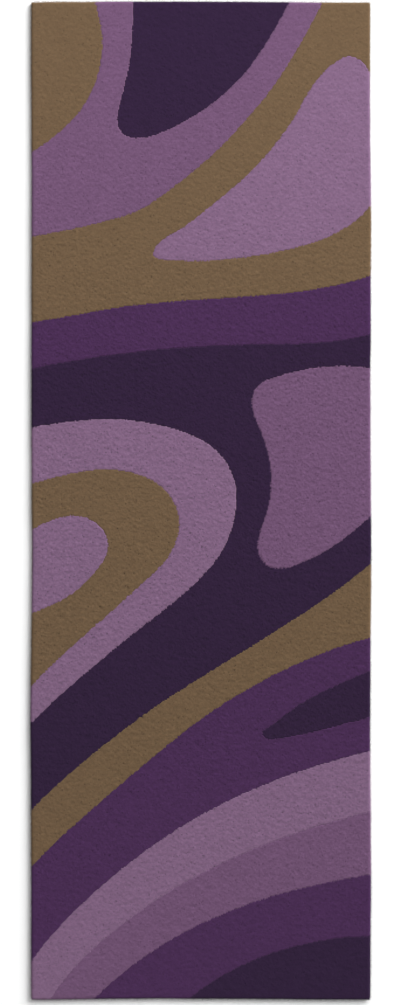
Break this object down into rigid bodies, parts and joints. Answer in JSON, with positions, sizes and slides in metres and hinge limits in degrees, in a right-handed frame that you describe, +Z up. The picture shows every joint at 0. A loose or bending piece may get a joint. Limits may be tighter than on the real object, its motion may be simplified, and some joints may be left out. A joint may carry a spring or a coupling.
{
  "type": "tufted runner rug",
  "caption": "Long rectangular tufted runner rug with cut pile in a pattern of wide curved bands, folded and taped hems and a cloth backing, lying flat.",
  "frame": {"origin": "on the floor under the middle of the rug", "axes": "+X across the rug, +Y along its length towards the end with the tan corner, +Z up through the pile"},
  "size_m": [0.813, 2.388, 0.012],
  "materials": {
    "yarn_tan": "cut pile, matt",
    "yarn_plum": "cut pile, matt",
    "yarn_dark": "cut pile, matt",
    "yarn_violet": "cut pile, matt",
    "yarn_lilac": "cut pile, matt",
    "tufting_cloth": "plain weave, matt",
    "latex": "dry latex, matt",
    "backing_cloth": "canvas weave, matt",
    "tape": "twill weave, matt",
    "label": "woven satin"
  },
  "bodies": {
    "root": {"dark_main_pile": "yarn_dark", "violet_ribbon_pile": "yarn_violet", "tan_sweep_pile": "yarn_tan", "lilac_leaf_pile": "yarn_lilac", "plum_sweep_pile": "yarn_plum", "tan_corner_pile": "yarn_tan", "dark_drop_pile": "yarn_dark", "plum_lobe_pile": "yarn_plum", "lilac_loop_pile": "yarn_lilac", "tan_loop_pile": "yarn_tan", "lilac_core_pile": "yarn_lilac", "tan_diagonal_pile": "yarn_tan", "violet_slope_pile": "yarn_violet", "dark_sliver_pile": "yarn_dark", "lilac_arc_pile": "yarn_lilac", "plum_arc_pile": "yarn_plum", "violet_arc_pile": "yarn_violet", "dark_foot_pile": "yarn_dark", "primary_backing": "tufting_cloth", "latex_layer": "latex", "secondary_backing": "backing_cloth", "hem_tape_bottom": "tape", "hem_tape_right": "tape", "hem_tape_top": "tape", "hem_tape_left": "tape", "care_label": "label"}
  },
  "joints": []
}
